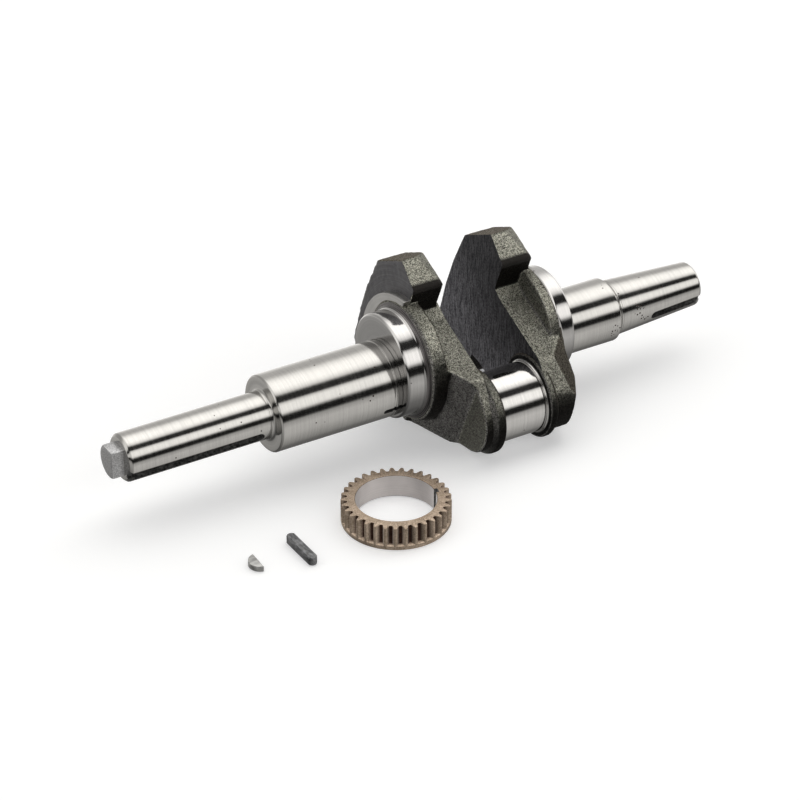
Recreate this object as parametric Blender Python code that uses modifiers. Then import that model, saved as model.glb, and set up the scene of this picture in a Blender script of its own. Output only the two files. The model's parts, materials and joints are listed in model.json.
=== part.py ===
"""Single-cylinder engine crankshaft with its loose timing gear and two keys.

Blender 4.5, metres, +Z up.  Run with: blender --background --python part.py

The crankshaft is modelled upright in its own frame: the main axis is local Z, counted
from the end face of the drive shaft; local X points away from the crankpin, towards the
counterweights; local Y is square to both.  An empty then lays it down on its webs, with
the main axis along world X, the way a crankshaft lies on a bench.  Sizes are millimetres.
"""
from math import asin, atan2, cos, hypot, pi, radians, sin, tau

import bmesh
import bpy
from mathutils import Matrix, Vector

MM = 0.001
OBJECT_NAME = "crankshaft_kit"

# Drive end: one-inch output shaft with a quarter-inch keyway and a driving stub.
STUB_LENGTH, STUB_R = 6.6, 9.0
STUB_TOP_FLAT, STUB_SIDE_FLAT = 7.2, 4.8
SHAFT_R, SHAFT_LENGTH, SHAFT_CHAMFER = 12.7, 81.5, 1.4
DRIVE_KEY_WIDTH, DRIVE_KEY_DEPTH, DRIVE_KEY_END = 6.35, 3.4, 76.0
DRIVE_KEY_ANGLE, TAPER_KEY_ANGLE, TIMING_SLOT_ANGLE = 183.0, 174.0, 180.0

# Drive-side main journal, which also seats the timing gear against the eccentric.
JOURNAL_R, JOURNAL_END, JOURNAL_CHAMFER = 20.65, 151.3, 0.8
RELIEF_WIDTH, RELIEF_DEPTH = 1.2, 0.45
TIMING_SLOT_WIDTH, TIMING_SLOT_DEPTH, TIMING_SLOT_LENGTH = 3.2, 2.6, 9.5

# Balancer eccentrics, one beside each web.
ECCENTRIC_R, ECCENTRIC_OFFSET, ECCENTRIC_CHAMFER = 28.2, 6.9, 0.8
MAGNETO_ECCENTRIC_END = 253.0
# Round flange at the root of each eccentric: radius, face and back.
DRIVE_FLANGE = (32.2, 163.2, 167.0)
MAGNETO_FLANGE = (32.2, 241.8, 236.5)
FILLET_LENGTH = 2.4

# Webs and crankpin.  Every web outline is symmetric about local X.
THROW = 37.0
PIN_R, PIN_FILLET, CHEEK_R, CHEEK_DRAFT = 19.05, 1.6, 22.9, 3.8
NECK_HALF, NECK_FLARE, NECK_FLARE_START = 26.2, 28.0, 8.0
NECK_TOE_X, NECK_TOE_HALF, TOE_R, TOE_ARC = -34.0, 26.2, 20.4, radians(54)
EAR_FRONT_X, EAR_TIP_X, EAR_BACK_X = 15.0, 31.0, 52.0
EAR_FRONT_HALF, EAR_TIP_HALF, EAR_CORNER_X, EAR_CORNER_HALF = 47.2, 53.9, 49.8, 32.2
EAR_CHAMFER_LENGTH, EAR_CHAMFER_DROP = 10.0, 7.6
DRIVE_NECK_START, DRIVE_EAR_START, DRIVE_EAR_END, DRIVE_WEB_END = 163.6, 168.0, 186.0, 187.6
CHEEK_START, PIN_START, PIN_END, CHEEK_END = 185.4, 193.4, 220.6, 227.0
MAGNETO_EAR_END, MAGNETO_NECK_END = 240.2, 245.6
HUB_R, CAST_BEVEL = 22.0, 2.2
# Machined land about the main axis on each counterweight's outer face.
DRIVE_LAND_R, MAGNETO_LAND_R, LAND_INSET = 42.4, 37.0, 0.6
# Side view of each web's outer face from neck to toe: (local X, distance along the axis).
DRIVE_TOE = [(-13.0, 163.0), (-15.5, 166.5), (-38.0, 182.3), (-70.0, 182.3)]
MAGNETO_TOE = [(-12.0, 246.2), (-20.0, 244.4), (-30.0, 242.0), (-43.0, 242.0), (-58.0, 235.5),
               (-70.0, 229.0)]
TOE_REACH = 12.0
# How far the magneto neck and counterweight stand back from the pin's end face.
NECK_STEP, EAR_STEP = 0.7, 1.5
# How far one solid runs into the next, so that no two faces coincide.
BURIED, SLIVER = 3.0, 0.2

# Magneto end: straight journal, then a one-in-eight taper for the flywheel.
MAGNETO_R, MAGNETO_END, SHOULDER_END = 17.46, 290.0, 292.4
TAPER_LARGE_R, TAPER_SMALL_R, TAPER_END, TAPER_CHAMFER = 15.28, 12.2, 346.0, 1.5
FLYWHEEL_KEY_SIZE, FLYWHEEL_KEY_LENGTH, FLYWHEEL_KEY_CHAMFER = 4.76, 25.4, 0.5
TAPER_SLOT_START, TAPER_SLOT_DEPTH = 312.0, 2.6

# Timing gear: sintered ring with a rim flange under its teeth.
GEAR_TEETH, GEAR_TIP_R, GEAR_ROOT_R, GEAR_BORE_R = 33, 28.1, 25.0, 20.75
GEAR_HEIGHT, GEAR_FLANGE, GEAR_EDGE = 12.8, 2.3, 0.4
GEAR_GAP_TIP, GEAR_GAP_ROOT = 0.74, 0.26
GEAR_NOTCH_WIDTH, GEAR_NOTCH_DEPTH = 3.3, 1.7

# Half-moon key for the timing gear, one eighth by one half inch.
TIMING_KEY_WIDTH, TIMING_KEY_R, TIMING_KEY_HEIGHT = 3.18, 6.35, 5.16

# Where the loose pieces lie, measured from the point under the drive shaft's end face.
GEAR_PLACE, GEAR_NOTCH_ANGLE = (119.7, -68.9), -12.0
TIMING_KEY_PLACE, TIMING_KEY_TURN = (41.4, -69.7), -2.0
FLYWHEEL_KEY_PLACE, FLYWHEEL_KEY_TURN = (63.8, -71.2), -89.0

TURN_STEPS = 72
ARC_STEP = radians(7.5)

# The webs rest on their counterweight tips and on the cheeks about the pin.
RESTING_X = EAR_TIP_X - CAST_BEVEL
RESTING_HALF = EAR_TIP_HALF - CAST_BEVEL * (EAR_TIP_HALF - EAR_FRONT_HALF) / (EAR_TIP_X - EAR_FRONT_X)
TIP_REACH = hypot(THROW + RESTING_X, RESTING_HALF)
REST_ANGLE = atan2(RESTING_HALF, THROW + RESTING_X) - asin(CHEEK_R / TIP_REACH)
AXIS_HEIGHT = THROW * sin(REST_ANGLE) + CHEEK_R


def arc(centre, radius, start, end):
    """Points on a circle from start to end, in radians, with both ends."""
    count = max(2, round(abs(end - start) / ARC_STEP))
    angles = [start + (end - start) * i / count for i in range(count + 1)]
    return [(centre[0] + radius * cos(a), centre[1] + radius * sin(a)) for a in angles]


def ear_outline():
    """Counterweight: a hammer head behind the neck, with a shallow round back."""
    sagitta = EAR_BACK_X - EAR_CORNER_X
    back_r = (EAR_CORNER_HALF ** 2 + sagitta ** 2) / (2 * sagitta)
    half_angle = asin(EAR_CORNER_HALF / back_r)
    back = arc((EAR_BACK_X - back_r, 0), back_r, -half_angle, half_angle)
    upper = [(EAR_TIP_X, EAR_TIP_HALF), (EAR_FRONT_X, EAR_FRONT_HALF)]
    lower = [(EAR_FRONT_X, -EAR_FRONT_HALF), (EAR_TIP_X, -EAR_TIP_HALF)]
    return lower + back + upper


def neck_outline():
    """Neck from inside the counterweight to the round end about the crankpin."""
    toe = arc((-THROW, 0), TOE_R, pi - TOE_ARC, pi + TOE_ARC)
    root = EAR_TIP_X - 4.0
    upper = [(root, NECK_FLARE), (EAR_FRONT_X, NECK_FLARE), (NECK_FLARE_START, NECK_HALF),
             (NECK_TOE_X, NECK_TOE_HALF)]
    lower = [(x, -y) for x, y in reversed(upper)]
    return upper + toe + lower


def stadium_outline(length, width):
    """Slot outline: square at the low end, round at the high end."""
    half = width / 2
    return [(0, -half)] + arc((length - half, 0), half, -pi / 2, pi / 2) + [(0, half)]


def half_moon_outline():
    """Disc cut by a chord, so that TIMING_KEY_HEIGHT is left under the chord."""
    chord = TIMING_KEY_HEIGHT - TIMING_KEY_R
    half = asin(chord / TIMING_KEY_R)
    return arc((0, 0), TIMING_KEY_R, pi / 2 - half, 3 * pi / 2 + half)


def collection(name):
    made = bpy.data.collections.new(name)
    bpy.context.scene.collection.children.link(made)
    return made


def mesh_object(name, mesh, where, parent=None):
    made = bpy.data.objects.new(name, mesh)
    where.objects.link(made)
    made.parent = parent
    return made


def plate(name, outline, low, high, where, parent=None):
    """Flat outline as a filled 2D curve, extruded from low to high and made a mesh."""
    curve = bpy.data.curves.new(name, "CURVE")
    curve.dimensions = "2D"
    curve.fill_mode = "BOTH"
    curve.extrude = (high - low) / 2 * MM
    spline = curve.splines.new("POLY")
    spline.points.add(len(outline) - 1)
    for point, (x, y) in zip(spline.points, outline):
        point.co = (x * MM, y * MM, 0, 1)
    spline.use_cyclic_u = True
    source = bpy.data.objects.new(name + "_curve", curve)
    where.objects.link(source)
    bpy.context.view_layer.update()
    graph = bpy.context.evaluated_depsgraph_get()
    mesh = bpy.data.meshes.new_from_object(source.evaluated_get(graph))
    work = bmesh.new()
    work.from_mesh(mesh)
    bmesh.ops.remove_doubles(work, verts=work.verts, dist=1e-6)
    bmesh.ops.dissolve_limit(work, angle_limit=radians(1), verts=work.verts, edges=work.edges)
    bmesh.ops.translate(work, verts=work.verts, vec=(0, 0, (low + high) / 2 * MM))
    bmesh.ops.recalc_face_normals(work, faces=work.faces)
    work.to_mesh(mesh)
    work.free()
    bpy.data.objects.remove(source)
    return mesh_object(name, mesh, where, parent)


def block(name, x, y, z, where, parent=None):
    """Box between three pairs of limits."""
    work = bmesh.new()
    bmesh.ops.create_cube(work, size=1)
    size = Vector((x[1] - x[0], y[1] - y[0], z[1] - z[0])) * MM
    middle = Vector((x[0] + x[1], y[0] + y[1], z[0] + z[1])) * MM / 2
    bmesh.ops.transform(work, matrix=Matrix.LocRotScale(middle, None, size), verts=work.verts)
    mesh = bpy.data.meshes.new(name)
    work.to_mesh(mesh)
    work.free()
    return mesh_object(name, mesh, where, parent)


def turned(name, profile, where, parent=None, closed=False):
    """Profile of (radius, height) pairs from the top down, turned about local Z."""
    mesh = bpy.data.meshes.new(name)
    points = [(radius * MM, 0, height * MM) for radius, height in profile]
    edges = [(i, i + 1) for i in range(len(points) - 1)]
    if closed:
        edges.append((len(points) - 1, 0))
    mesh.from_pydata(points, edges, [])
    made = mesh_object(name, mesh, where, parent)
    screw = made.modifiers.new("turn", "SCREW")
    screw.axis = "Z"
    screw.angle = tau
    screw.steps = TURN_STEPS
    screw.render_steps = TURN_STEPS
    screw.use_merge_vertices = True
    screw.merge_threshold = 1e-6
    screw.use_smooth_shade = False
    return made


def bevel(target, width, segments=2):
    edge = target.modifiers.new("edge", "BEVEL")
    edge.width = width * MM
    edge.segments = segments
    edge.limit_method = "ANGLE"
    edge.angle_limit = radians(25)


def combine(target, tool, operation):
    """Boolean with a helper object, which stays hidden in the cutter collection."""
    tool.hide_render = True
    tool.display_type = "WIRE"
    cut = target.modifiers.new(tool.name, "BOOLEAN")
    cut.operation = operation
    cut.solver = "EXACT"
    cut.object = tool


def material(target, colour, roughness, metallic):
    made = bpy.data.materials.new(target.name)
    made.use_nodes = True
    shader = made.node_tree.nodes["Principled BSDF"]
    shader.inputs["Base Color"].default_value = (*colour, 1)
    shader.inputs["Roughness"].default_value = roughness
    shader.inputs["Metallic"].default_value = metallic
    target.data.materials.append(made)


def axis_empty(origin):
    """Lay local Z along world X, and tip the webs onto their resting points."""
    made = bpy.data.objects.new("crankshaft_axis", None)
    bpy.context.scene.collection.objects.link(made)
    across = Vector((0, cos(REST_ANGLE), sin(REST_ANGLE)))
    upward = Vector((0, -sin(REST_ANGLE), cos(REST_ANGLE)))
    along = Vector((1, 0, 0))
    turn = Matrix((across, upward, along)).transposed().to_4x4()
    made.matrix_world = Matrix.Translation(origin) @ turn
    return made


def drive_side(parts, axis):
    """Stub, output shaft, main journal and the neck that runs into the first web."""
    relief = JOURNAL_END - 3 * RELIEF_WIDTH
    profile = [
        (0, DRIVE_WEB_END - 4), (HUB_R - 4, DRIVE_WEB_END - 4), (HUB_R - 4, DRIVE_EAR_START + BURIED),
        (HUB_R, DRIVE_EAR_START + BURIED), (HUB_R, DRIVE_NECK_START - 1.2),
        (JOURNAL_R - 0.6, DRIVE_NECK_START - 1.2), (JOURNAL_R - 0.6, JOURNAL_END + 2),
        (JOURNAL_R, JOURNAL_END + 1), (JOURNAL_R, relief + RELIEF_WIDTH),
        (JOURNAL_R - RELIEF_DEPTH, relief + RELIEF_WIDTH), (JOURNAL_R - RELIEF_DEPTH, relief),
        (JOURNAL_R, relief), (JOURNAL_R, SHAFT_LENGTH + JOURNAL_CHAMFER),
        (JOURNAL_R - JOURNAL_CHAMFER, SHAFT_LENGTH), (SHAFT_R + 1.6, SHAFT_LENGTH),
        (SHAFT_R + 0.5, SHAFT_LENGTH - 0.5), (SHAFT_R, SHAFT_LENGTH - 1.6),
        (SHAFT_R, SHAFT_CHAMFER), (SHAFT_R - SHAFT_CHAMFER, 0), (STUB_R, 0),
        (STUB_R, -STUB_LENGTH + 0.6), (STUB_R - 0.6, -STUB_LENGTH), (0, -STUB_LENGTH),
    ]
    return turned("crankshaft", profile, parts, axis)


def magneto_side(helpers, axis):
    """Straight journal and taper, running into the second web."""
    profile = [
        (0, TAPER_END), (TAPER_SMALL_R - TAPER_CHAMFER, TAPER_END),
        (TAPER_SMALL_R, TAPER_END - TAPER_CHAMFER),
        (TAPER_LARGE_R, SHOULDER_END), (MAGNETO_R, MAGNETO_END), (MAGNETO_R, PIN_END + 6), (0, PIN_END + 6),
    ]
    return turned("magneto_side", profile, helpers, axis)


def eccentric(name, outer, flange, helpers, axis):
    """Round disc whose centre stands off the main axis, on a wider flange against its web."""
    flange_r, face, back = flange
    inward = 1 if back > outer else -1
    edge = ECCENTRIC_CHAMFER
    profile = [
        (0, outer), (ECCENTRIC_R - edge, outer), (ECCENTRIC_R, outer + inward * edge),
        (ECCENTRIC_R, face - inward * FILLET_LENGTH), (ECCENTRIC_R + edge, face - inward * edge),
        (flange_r - edge, face), (flange_r, face + inward * edge), (flange_r, back), (0, back),
    ]
    if inward > 0:
        profile.reverse()
    made = turned(name, profile, helpers, axis)
    made.location = (ECCENTRIC_OFFSET * sin(REST_ANGLE) * MM, ECCENTRIC_OFFSET * cos(REST_ANGLE) * MM, 0)
    return made


def crankpin(helpers, axis):
    """Pin with a turned fillet at each end, between the round cheeks that guide the rod."""
    edge = 1.0
    ends = []
    for face, web in ((PIN_END, CHEEK_END), (PIN_START, CHEEK_START)):
        inward = 1 if web > face else -1
        ends.append([
            (0, web), (CHEEK_R - CHEEK_DRAFT, web), (CHEEK_R, face + (web - face) * 0.55),
            (CHEEK_R, face + inward * edge), (CHEEK_R - edge, face), (PIN_R + PIN_FILLET, face),
            (PIN_R + 0.4, face - inward * PIN_FILLET), (PIN_R, face - inward * 2 * PIN_FILLET),
        ])
    made = turned("crankpin", ends[0] + ends[1][::-1], helpers, axis)
    made.location = (-THROW * MM, 0, 0)
    return made


def side_plate(name, outline, half, helpers, axis):
    """Outline in the plane of local X and the main axis, spread to both sides of it."""
    made = plate(name, outline, -half, half, helpers, axis)
    made.rotation_euler = (pi / 2, 0, 0)
    return made


def toe_cutter(name, face, outward, helpers, axis):
    """Everything outside a web's outer face, from the neck down to the round pin end."""
    clear = face[0][1] + outward * TOE_REACH
    corners = [(face[-1][0], clear), (face[0][0], clear)]
    return side_plate(name, face + corners, EAR_CORNER_HALF, helpers, axis)


def ear_chamfers(name, high, helpers, axis):
    """Bevel across each counterweight tip, on the side towards the magneto end."""
    made = []
    length, drop = EAR_CHAMFER_LENGTH, EAR_CHAMFER_DROP
    corner = [(EAR_TIP_HALF - drop, high), (EAR_TIP_HALF, high - length), (EAR_TIP_HALF + 9, high - length)]
    outline = corner + [(EAR_TIP_HALF + 9, high + 9), (EAR_TIP_HALF - drop, high + 9)]
    for side in (-1, 1):
        cutter = plate(f"{name}_{side}", outline, -EAR_BACK_X, EAR_BACK_X + 9, helpers, axis)
        across = Vector((0, side, 0))
        along = Vector((0, 0, 1))
        cutter.matrix_local = Matrix((across, along, across.cross(along))).transposed().to_4x4()
        made.append(cutter)
    return made


def land(name, low, high, radius, helpers, axis):
    """Turned face that stands proud of a counterweight, as far out as its radius."""
    outline = [(x - LAND_INSET, y * (1 - LAND_INSET / EAR_FRONT_HALF)) for x, y in ear_outline()]
    made = plate(name, outline, low, high, helpers, axis)
    round_face = [(0, high + 1), (radius, high + 1), (radius, low - 1), (0, low - 1)]
    combine(made, turned(name + "_round", round_face, helpers, axis), "INTERSECT")
    return made


def neck(name, low, high, toe, outward, helpers, axis):
    made = plate(name, neck_outline(), low, high, helpers, axis)
    combine(made, toe_cutter(name + "_toe", toe, outward, helpers, axis), "DIFFERENCE")
    bevel(made, CAST_BEVEL)
    return made


def ear(name, low, high, helpers, axis):
    made = plate(name, ear_outline(), low, high, helpers, axis)
    bevel(made, CAST_BEVEL)
    for cutter in ear_chamfers(name + "_chamfer", high, helpers, axis):
        combine(made, cutter, "DIFFERENCE")
    return made


def webs(helpers, axis):
    """Both webs: neck, counterweight and the turned land on its outer face."""
    return [
        neck("drive_neck", DRIVE_NECK_START, DRIVE_WEB_END, DRIVE_TOE, -1, helpers, axis),
        ear("drive_ear", DRIVE_EAR_START, DRIVE_EAR_END, helpers, axis),
        land("drive_land", DRIVE_NECK_START + SLIVER, DRIVE_EAR_START + BURIED, DRIVE_LAND_R,
             helpers, axis),
        neck("magneto_neck", PIN_END + NECK_STEP, MAGNETO_NECK_END, MAGNETO_TOE, 1, helpers, axis),
        ear("magneto_ear", PIN_END + EAR_STEP, MAGNETO_EAR_END, helpers, axis),
        land("magneto_land", MAGNETO_EAR_END - BURIED, MAGNETO_NECK_END - SLIVER, MAGNETO_LAND_R,
             helpers, axis),
    ]


def keyway(name, width, low, high, floor, helpers, axis, angle, open_low=True):
    """Milled slot along the shaft; its round end is the one inside the metal."""
    made = plate(name, stadium_outline(high - low, width), 0, 10, helpers, axis)
    facing = Matrix.Rotation(radians(angle), 4, "Z")
    along = Vector((0, 0, 1 if open_low else -1))
    radial = Vector((1, 0, 0))
    basis = Matrix((along, radial.cross(along), radial)).transposed().to_4x4()
    start = low if open_low else high
    made.matrix_local = facing @ Matrix.Translation((floor * MM, 0, start * MM)) @ basis
    return made


def stub_flats(helpers, axis):
    """Two flats on the driving stub, square to each other."""
    made = []
    for name, flat, angle in (("top_flat", STUB_TOP_FLAT, 90), ("side_flat", STUB_SIDE_FLAT, 180)):
        cutter = block(name, (flat, flat + 20), (-20, 20), (-STUB_LENGTH - 5, -0.3), helpers, axis)
        cutter.rotation_euler = (0, 0, radians(angle) - REST_ANGLE)
        made.append(cutter)
    return made


def crankshaft(parts, helpers, origin):
    axis = axis_empty(origin)
    shaft = drive_side(parts, axis)
    added = webs(helpers, axis)
    added += [crankpin(helpers, axis), magneto_side(helpers, axis)]
    added.append(eccentric("drive_eccentric", JOURNAL_END, DRIVE_FLANGE, helpers, axis))
    added.append(eccentric("magneto_eccentric", MAGNETO_ECCENTRIC_END, MAGNETO_FLANGE, helpers, axis))
    for tool in added:
        combine(shaft, tool, "UNION")
    cuts = stub_flats(helpers, axis)
    cuts.append(keyway("drive_keyway", DRIVE_KEY_WIDTH, -1, DRIVE_KEY_END, SHAFT_R - DRIVE_KEY_DEPTH,
                       helpers, axis, DRIVE_KEY_ANGLE))
    cuts.append(keyway("timing_slot", TIMING_SLOT_WIDTH, JOURNAL_END - TIMING_SLOT_LENGTH, JOURNAL_END,
                       JOURNAL_R - TIMING_SLOT_DEPTH, helpers, axis, TIMING_SLOT_ANGLE, False))
    cuts.append(keyway("taper_keyway", FLYWHEEL_KEY_SIZE, TAPER_SLOT_START, TAPER_END + 1,
                       TAPER_SMALL_R - TAPER_SLOT_DEPTH, helpers, axis, TAPER_KEY_ANGLE, False))
    for tool in cuts:
        combine(shaft, tool, "DIFFERENCE")
    material(shaft, (0.52, 0.51, 0.49), 0.32, 0.9)


def gear_gaps(helpers):
    """All the tooth gaps as one cutter: a tapered prism for each gap."""
    pitch = tau / GEAR_TEETH
    root = pitch * GEAR_GAP_ROOT / 2
    tip = pitch * GEAR_GAP_TIP / 2
    beyond = GEAR_TIP_R + 1
    low, high = GEAR_FLANGE, GEAR_HEIGHT + 1
    points, faces = [], []
    for gap in range(GEAR_TEETH):
        middle = (gap + 0.5) * pitch
        corners = [(GEAR_ROOT_R, middle - root), (beyond, middle - tip * 1.05),
                   (beyond, middle + tip * 1.05), (GEAR_ROOT_R, middle + root)]
        first = len(points)
        for height in (low, high):
            points += [(r * cos(a) * MM, r * sin(a) * MM, height * MM) for r, a in corners]
        faces.append([first + i for i in (3, 2, 1, 0)])
        faces.append([first + 4 + i for i in range(4)])
        for i in range(4):
            after = (i + 1) % 4
            faces.append([first + i, first + after, first + 4 + after, first + 4 + i])
    mesh = bpy.data.meshes.new("gear_gaps")
    mesh.from_pydata(points, [], faces)
    return mesh_object("gear_gaps", mesh, helpers)


def timing_gear(parts, helpers, floor_origin):
    edge = GEAR_EDGE
    profile = [
        (GEAR_BORE_R + edge, GEAR_HEIGHT), (GEAR_TIP_R, GEAR_HEIGHT), (GEAR_TIP_R, edge),
        (GEAR_TIP_R - edge, 0), (GEAR_BORE_R + edge, 0), (GEAR_BORE_R, edge),
        (GEAR_BORE_R, GEAR_HEIGHT - edge),
    ]
    gear = turned("timing_gear", profile, parts, closed=True)
    notch = block("gear_notch", (GEAR_BORE_R - 3, GEAR_BORE_R + GEAR_NOTCH_DEPTH),
                  (-GEAR_NOTCH_WIDTH / 2, GEAR_NOTCH_WIDTH / 2), (-1, GEAR_HEIGHT + 1), helpers, gear)
    gaps = gear_gaps(helpers)
    gaps.parent = gear
    combine(gear, gaps, "DIFFERENCE")
    combine(gear, notch, "DIFFERENCE")
    gear.location = floor_origin + Vector((*GEAR_PLACE, 0)) * MM
    gear.rotation_euler = (0, 0, radians(GEAR_NOTCH_ANGLE))
    material(gear, (0.42, 0.34, 0.26), 0.6, 0.6)


def timing_key(parts, floor_origin):
    key = plate("timing_key", half_moon_outline(), 0, TIMING_KEY_WIDTH, parts)
    bevel(key, 0.25, 1)
    key.location = floor_origin + Vector((*TIMING_KEY_PLACE, 0)) * MM
    key.rotation_euler = (0, 0, radians(TIMING_KEY_TURN))
    material(key, (0.62, 0.62, 0.6), 0.35, 0.9)


def flywheel_key(parts, floor_origin):
    half_length, half = FLYWHEEL_KEY_LENGTH / 2, FLYWHEEL_KEY_SIZE / 2
    key = block("flywheel_key", (-half_length, half_length), (-half, half), (0, FLYWHEEL_KEY_SIZE), parts)
    bevel(key, FLYWHEEL_KEY_CHAMFER, 1)
    key.location = floor_origin + Vector((*FLYWHEEL_KEY_PLACE, 0)) * MM
    key.rotation_euler = (0, 0, radians(FLYWHEEL_KEY_TURN))
    material(key, (0.12, 0.13, 0.13), 0.5, 0.8)


def layout_origin():
    """Point under the drive shaft's end face, placed so that the whole kit is centred."""
    back = max(x * cos(REST_ANGLE) - y * sin(REST_ANGLE) for x, y in ear_outline())
    front = GEAR_PLACE[1] - GEAR_TIP_R
    middle_x = (TAPER_END - STUB_LENGTH) / 2
    return Vector((-middle_x, -(front + back) / 2, 0)) * MM


def main():
    for old in list(bpy.data.objects):
        bpy.data.objects.remove(old)
    parts = collection(OBJECT_NAME)
    helpers = collection("cutters")
    origin = layout_origin()
    crankshaft(parts, helpers, origin + Vector((0, 0, AXIS_HEIGHT * MM)))
    timing_gear(parts, helpers, origin)
    timing_key(parts, origin)
    flywheel_key(parts, origin)


main()
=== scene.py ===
"""Looks of a small engine's crankshaft, with its timing gear and its two keys.

The crankshaft's pieces are modelled upright in the crankshaft's own frame: local Z is the
main axis, counted from the end face of the drive shaft, local X points away from the
crankpin, and local Y is square to both.  AXIS lays them down on their webs, the way the
CAD does.  Sizes are millimetres, and the meshes are metres.
"""

import json
from math import asin, atan2, cos, hypot, pi, radians, sin, tau

import bmesh
import bpy
from mathutils import Matrix, Vector, noise


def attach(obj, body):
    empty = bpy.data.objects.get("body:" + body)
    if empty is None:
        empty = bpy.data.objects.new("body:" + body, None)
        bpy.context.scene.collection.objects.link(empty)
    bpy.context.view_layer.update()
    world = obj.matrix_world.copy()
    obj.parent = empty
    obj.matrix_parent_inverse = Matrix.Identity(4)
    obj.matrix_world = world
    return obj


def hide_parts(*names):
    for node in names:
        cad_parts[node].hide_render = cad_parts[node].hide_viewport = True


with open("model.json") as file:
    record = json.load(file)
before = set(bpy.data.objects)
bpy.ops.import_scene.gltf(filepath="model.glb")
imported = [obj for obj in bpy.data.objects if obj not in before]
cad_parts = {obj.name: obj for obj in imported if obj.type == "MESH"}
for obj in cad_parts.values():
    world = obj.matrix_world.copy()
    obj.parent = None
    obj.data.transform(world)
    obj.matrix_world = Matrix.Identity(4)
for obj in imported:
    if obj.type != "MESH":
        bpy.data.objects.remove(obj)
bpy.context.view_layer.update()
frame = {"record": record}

MM = 0.001
STEPS = 180  # corners in a turned piece's circle
ROUND_STEPS = 4  # pieces in a rounded corner of a profile
LONGEST_STEP = 3.0  # between the rings of a turned piece

# Crankshaft, drive end to magneto end.
STUB_LENGTH, STUB_R, STUB_TOP_FLAT, STUB_SIDE_FLAT = 6.6, 9.0, 7.2, 4.8
SHAFT_R, SHAFT_LENGTH = 12.7, 81.5
DRIVE_KEY_WIDTH, DRIVE_KEY_DEPTH, DRIVE_KEY_END = 6.35, 3.4, 76.0
DRIVE_KEY_ANGLE, TAPER_KEY_ANGLE, TIMING_SLOT_ANGLE = 183.0, 174.0, 180.0
JOURNAL_R, JOURNAL_END = 20.65, 151.3
TIMING_SLOT_WIDTH, TIMING_SLOT_DEPTH, TIMING_SLOT_LENGTH = 3.2, 2.6, 9.5
ECCENTRIC_R, ECCENTRIC_OFFSET, MAGNETO_ECCENTRIC_END = 28.2, 6.9, 253.0
DRIVE_FLANGE_FACE, MAGNETO_FLANGE_FACE = 163.1, 241.9
THROW, PIN_R, CHEEK_R = 37.0, 19.05, 22.9
NECK_HALF, NECK_FLARE, NECK_FLARE_START = 26.2, 28.0, 8.0
NECK_TOE_X, TOE_R, TOE_ARC = -34.0, 20.4, radians(54)
EAR_FRONT_X, EAR_TIP_X, EAR_BACK_X = 15.0, 31.0, 52.0
EAR_FRONT_HALF, EAR_TIP_HALF, EAR_CORNER_X, EAR_CORNER_HALF = 47.2, 53.9, 49.8, 32.2
EAR_CHAMFER_LENGTH, EAR_CHAMFER_DROP, CAST_BEVEL = 10.0, 7.6, 2.2
DRIVE_NECK_START, DRIVE_EAR_START, DRIVE_EAR_END, DRIVE_WEB_END = 163.6, 168.0, 186.0, 187.6
CHEEK_START, PIN_START, PIN_END, CHEEK_END = 185.4, 193.4, 220.6, 227.0
MAGNETO_INNER, MAGNETO_EAR_END, MAGNETO_NECK_END = 221.8, 240.2, 245.6
DRIVE_LAND_R, MAGNETO_LAND_R = 42.4, 37.0
DRIVE_TOE = [(-13.0, 163.0), (-15.5, 166.5), (-38.0, 182.3), (-70.0, 182.3)]
MAGNETO_TOE = [(-12.0, 246.2), (-20.0, 244.4), (-30.0, 242.0), (-43.0, 242.0), (-58.0, 235.5),
               (-70.0, 229.0)]
TOE_REACH = 12.0
TOE_FACET_X, TOE_FACET_Z, TOE_FACET_FACING = -28.2, 235.5, (-0.40, 0.80, 0.445)
MAGNETO_R, MAGNETO_END, SHOULDER_END = 17.46, 290.0, 292.4
TAPER_LARGE_R, TAPER_SMALL_R, TAPER_END = 15.28, 12.2, 346.0
TAPER_SLOT_START, TAPER_SLOT_DEPTH = 312.0, 2.6
VOXEL, CAST_SMOOTHING = 0.75, 9
RUST = [((-17.3, 2.5, 286.0), 4.2), ((-14.7, 2.8, 307.0), 3.0), ((-12.2, 8.4, 303.0), 3.4),
        ((-17.0, 11.7, 134.0), 2.0)]  # place and reach of each patch of pits
RAGGED = 8.0  # how much the edge of such a patch wanders
LIP_SOLID, LIP_WIDTH = 2.2, 3.6  # painted shade: a dark lip along the front of each counterweight tip
TOE_SHADE = 0.85  # painted shade: how bright the casting stays round the crankpin

# Loose pieces.
GEAR_TEETH, GEAR_TIP_R, GEAR_ROOT_R, GEAR_BORE_R = 33, 28.1, 25.0, 20.75
GEAR_HEIGHT, GEAR_FLANGE, GEAR_EDGE = 12.8, 2.3, 0.4
GEAR_NOTCH_WIDTH, GEAR_NOTCH_DEPTH, GEAR_NOTCH_ANGLE = 3.3, 1.7, -12.0
TIMING_KEY_WIDTH, TIMING_KEY_R, TIMING_KEY_HEIGHT, TIMING_KEY_TURN = 3.18, 6.35, 5.16, -2.0
KEY_SIZE, KEY_LENGTH, KEY_CHAMFER, KEY_END_BEVEL, KEY_TURN = 4.76, 25.4, 0.6, 1.309, -89.0
GEAR_PLACE, TIMING_KEY_PLACE, KEY_PLACE = (119.7, -68.9), (41.4, -69.7), (63.8, -71.2)

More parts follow.
